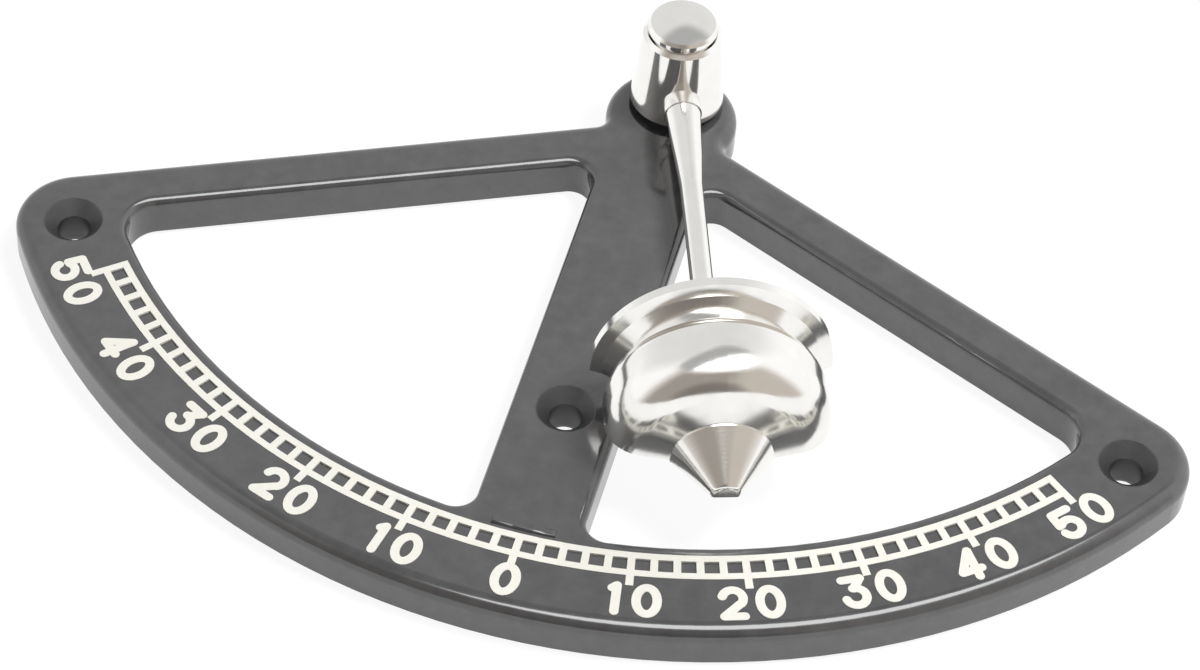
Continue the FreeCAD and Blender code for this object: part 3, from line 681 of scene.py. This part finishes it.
@dataclass
class Surround:
    """White backdrop for the camera, plain light for matt surfaces, and a studio that only gloss mirrors."""

    ambient: float = 0.24
    backdrop_light: float = 1.0
    card_light: float = 1.1
    back_light: float = 0.8
    gap_light: float = 0.46
    room_left: float = 0.37
    room_core: float = 0.22
    room_right: float = 0.6
    softbox_light: float = 6.5
    room_tint: str = "#fff5ea"
    back: tuple[Zone, ...] = (Zone((-0.38, 0.66, 0.64), (0.5, 0.9)),)
    gap: tuple[Zone, ...] = (
        Zone((0.825, -0.507, 0.249), (0.3, 0.12), both_sides=True),
        Zone((0.0, 0.0, 1.0), (0.72, 0.86)),
    )
    # The room lies on the camera's side, from the left front round to the right, below the soft box.
    room: tuple[Zone, ...] = (
        Zone((1.0, -1.0, 0.0), (-0.3, 0.2)),
        Zone((0.0, -1.0, 0.0), (-0.22, 0.2)),
        Zone((0.0, 0.0, 1.0), (0.88, 0.74)),
    )
    to_right: tuple[Zone, ...] = (Zone((1.0, 0.0, 0.0), (0.3, 0.6)),)
    core: tuple[Zone, ...] = (Zone((0.22, -0.96, 0.12), (0.88, 0.99)),)
    softbox: tuple[Zone, ...] = (
        Zone((0.0, 0.0, 1.0), (0.85, 0.9)),
        Zone((0.8, -0.6, 0.0), (0.02, 0.1)),
    )

    def mark(
        self, tree: bpy.types.NodeTree, direction: bpy.types.NodeSocket, zones: tuple[Zone, ...]
    ) -> bpy.types.NodeSocket:
        """Mark where some zones overlap, with soft edges.

        Args:
            tree: Node tree of the world.
            direction: Socket with the direction looked in.
            zones: The zones.

        Returns:
            Socket that is 1 where all of them are, and 0 outside any.
        """
        overlap = None
        for zone in zones:
            towards = add_node(
                tree, "ShaderNodeVectorMath", {"operation": "DOT_PRODUCT"},
                in_0=direction, in_1=Vector(zone.middle).normalized(),
            ).outputs["Value"]
            if zone.both_sides:
                towards = add_node(
                    tree, "ShaderNodeMath", {"operation": "ABSOLUTE"}, in_0=towards
                ).outputs[0]
            start, full = zone.edge
            inside = add_node(
                tree, "ShaderNodeMapRange", {"interpolation_type": "SMOOTHSTEP"},
                Value=towards, From_Min=start, From_Max=full,
            ).outputs["Result"]
            if overlap is not None:
                inside = add_node(
                    tree, "ShaderNodeMath", {"operation": "MULTIPLY"}, in_0=overlap, in_1=inside
                ).outputs[0]
            overlap = inside
        return overlap

    def add_mirrored(self, tree: bpy.types.NodeTree) -> tuple[bpy.types.NodeSocket, bpy.types.NodeSocket]:
        """Lay out what polish mirrors: white cards, a gap between them, the soft box and the dark room.

        Args:
            tree: Node tree of the world.

        Returns:
            Sockets of the light level and of the colour.
        """
        direction = add_node(tree, "ShaderNodeTexCoord").outputs["Generated"]
        back, gap, room, to_right, core, softbox = (
            self.mark(tree, direction, zones)
            for zones in (self.back, self.gap, self.room, self.to_right, self.core, self.softbox)
        )
        sides = add_node(
            tree, "ShaderNodeMix", in_0=to_right, in_2=self.room_left, in_3=self.room_right
        )
        room_level = add_node(
            tree, "ShaderNodeMix", in_0=core, in_2=sides.outputs[0], in_3=self.room_core
        )
        level = add_node(tree, "ShaderNodeMix", in_0=back, in_2=self.card_light, in_3=self.back_light)
        layers = ((gap, self.gap_light), (room, room_level.outputs[0]), (softbox, self.softbox_light))
        for zone, given in layers:
            level = add_node(tree, "ShaderNodeMix", in_0=zone, in_2=level.outputs[0], in_3=given)
        tint = add_node(
            tree, "ShaderNodeMix", {"data_type": "RGBA"},
            in_0=room, in_6=linear(WHITE), in_7=linear(self.room_tint),
        )
        return level.outputs[0], tint.outputs[2]

    def build(self) -> None:
        """Make the world of plain light, a white backdrop and the mirrored studio."""
        world = bpy.data.worlds.new("studio")
        bpy.context.scene.world = world
        world.use_nodes = True
        tree = world.node_tree
        tree.nodes.clear()
        path = add_node(tree, "ShaderNodeLightPath")
        level, tint = self.add_mirrored(tree)
        around = add_node(tree, "ShaderNodeBackground", Color=linear(WHITE), Strength=self.ambient)
        mirrored = add_node(tree, "ShaderNodeBackground", Color=tint, Strength=level)
        backdrop = add_node(
            tree, "ShaderNodeBackground", Color=linear(WHITE), Strength=self.backdrop_light
        )
        polished = add_node(
            tree, "ShaderNodeMixShader",
            in_0=path.outputs["Is Glossy Ray"], in_1=around.outputs[0], in_2=mirrored.outputs[0],
        )
        seen = add_node(
            tree, "ShaderNodeMath", {"operation": "MAXIMUM"},
            in_0=path.outputs["Is Camera Ray"], in_1=path.outputs["Is Transmission Ray"],
        )
        surface = add_node(
            tree, "ShaderNodeMixShader",
            in_0=seen.outputs[0], in_1=polished.outputs[0], in_2=backdrop.outputs[0],
        )
        add_node(tree, "ShaderNodeOutputWorld", Surface=surface.outputs[0])
        log.info("made the surround")


@dataclass(frozen=True)
class SoftBox:
    """Soft box that hangs in a direction from the object and faces it, in metres and watts."""

    name: str
    towards: Direction
    distance: float
    size: Pair
    watts: float
    aim: Place = (0.0, 0.02, 0.01)

    def build(self) -> None:
        """Hang the soft box."""
        data = bpy.data.lights.new(self.name, "AREA")
        data.shape = "RECTANGLE"
        data.size, data.size_y = self.size
        data.energy = self.watts
        lamp = bpy.data.objects.new(self.name, data)
        direction = Vector(self.towards).normalized()
        turn = direction.to_track_quat("Z", "Y").to_matrix().to_4x4()
        lamp.matrix_world = Matrix.Translation(Vector(self.aim) + direction * self.distance) @ turn
        # Polish mirrors the surround's own picture of the soft boxes.
        lamp.visible_glossy = False
        bpy.context.scene.collection.objects.link(lamp)
        log.info("hung %s", self.name)


@dataclass
class Studio:
    """White set, soft lamps and the camera."""

    camera_place: Place = (0.066699, -0.315056, 0.38166)
    camera_right: Direction = (0.96603, 0.253, 0.05271)
    camera_up: Direction = (-0.22306, 0.71328, 0.66444)
    camera_back: Direction = (0.1305, -0.65362, 0.74548)
    lens_mm: float = 111.919
    sensor_mm: float = 36.0
    floor_half: float = 2.0
    floor_drop: float = 0.0002
    floor_card: str = "#f4f4f4"
    floor_glow: float = 1.08
    floor_wash: float = 0.84
    surround: Surround = field(default_factory=Surround)
    lamps: tuple[SoftBox, ...] = (
        SoftBox("soft_box_overhead", (0.42, 0.08, 0.9), distance=1.2, size=(0.33, 0.33), watts=10.8),
        SoftBox("soft_box_back", (0.2, 0.75, 0.65), distance=1.0, size=(0.4, 0.3), watts=2.2),
    )

    def add_camera(self) -> None:
        """Set the camera where the photograph was taken from."""
        data = bpy.data.cameras.new("camera")
        data.sensor_width = self.sensor_mm
        data.lens = self.lens_mm
        data.dof.use_dof = False
        camera = bpy.data.objects.new("camera", data)
        columns = (self.camera_right, self.camera_up, self.camera_back)
        turn = Matrix(columns).transposed().to_4x4()
        camera.matrix_world = Matrix.Translation(self.camera_place) @ turn
        bpy.context.scene.collection.objects.link(camera)
        bpy.context.scene.camera = camera

    def add_floor(self) -> None:
        """Lay a white floor that keeps a soft shadow."""
        half = self.floor_half
        data = bpy.data.meshes.new("floor")
        corners = [(-half, -half), (half, -half), (half, half), (-half, half)]
        data.from_pydata([(x, y, -self.floor_drop) for x, y in corners], [], [(0, 1, 2, 3)])
        floor = bpy.data.objects.new("floor", data)
        bpy.context.scene.collection.objects.link(floor)
        material, tree = new_material("white_card")
        card = add_node(tree, "ShaderNodeBsdfDiffuse", Color=linear(self.floor_card))
        # Seen straight or in a reflection the card is white, and a share of it still takes the shadow.
        glow = add_node(tree, "ShaderNodeEmission", Color=linear(WHITE), Strength=self.floor_glow)
        washed = add_node(
            tree, "ShaderNodeMixShader",
            in_0=self.floor_wash, in_1=card.outputs["BSDF"], in_2=glow.outputs["Emission"],
        )
        path = add_node(tree, "ShaderNodeLightPath")
        seen = add_node(
            tree, "ShaderNodeMath", {"operation": "MAXIMUM"},
            in_0=path.outputs["Is Camera Ray"], in_1=path.outputs["Is Glossy Ray"],
        )
        seen_through = add_node(
            tree, "ShaderNodeMath", {"operation": "MAXIMUM"},
            in_0=seen.outputs[0], in_1=path.outputs["Is Transmission Ray"],
        )
        surface = add_node(
            tree, "ShaderNodeMixShader",
            in_0=seen_through.outputs[0], in_1=card.outputs["BSDF"], in_2=washed.outputs["Shader"],
        )
        add_node(tree, "ShaderNodeOutputMaterial", Surface=surface.outputs["Shader"])
        dress(floor, material)

    def build(self) -> None:
        """Set up the whole studio."""
        bpy.context.scene.view_settings.view_transform = "Standard"
        self.add_camera()
        self.add_floor()
        self.surround.build()
        for lamp in self.lamps:
            lamp.build()


def main() -> None:
    """Build every sub-assembly in order and report it."""
    logging.basicConfig(level=logging.INFO, format="%(name)s: %(message)s")
    for assembly in (DialFrame(), PivotPost(), Pendulum(), Studio()):
        assembly.build()
        log.info("built %s", type(assembly).__name__)


if __name__ == "__main__":
    main()
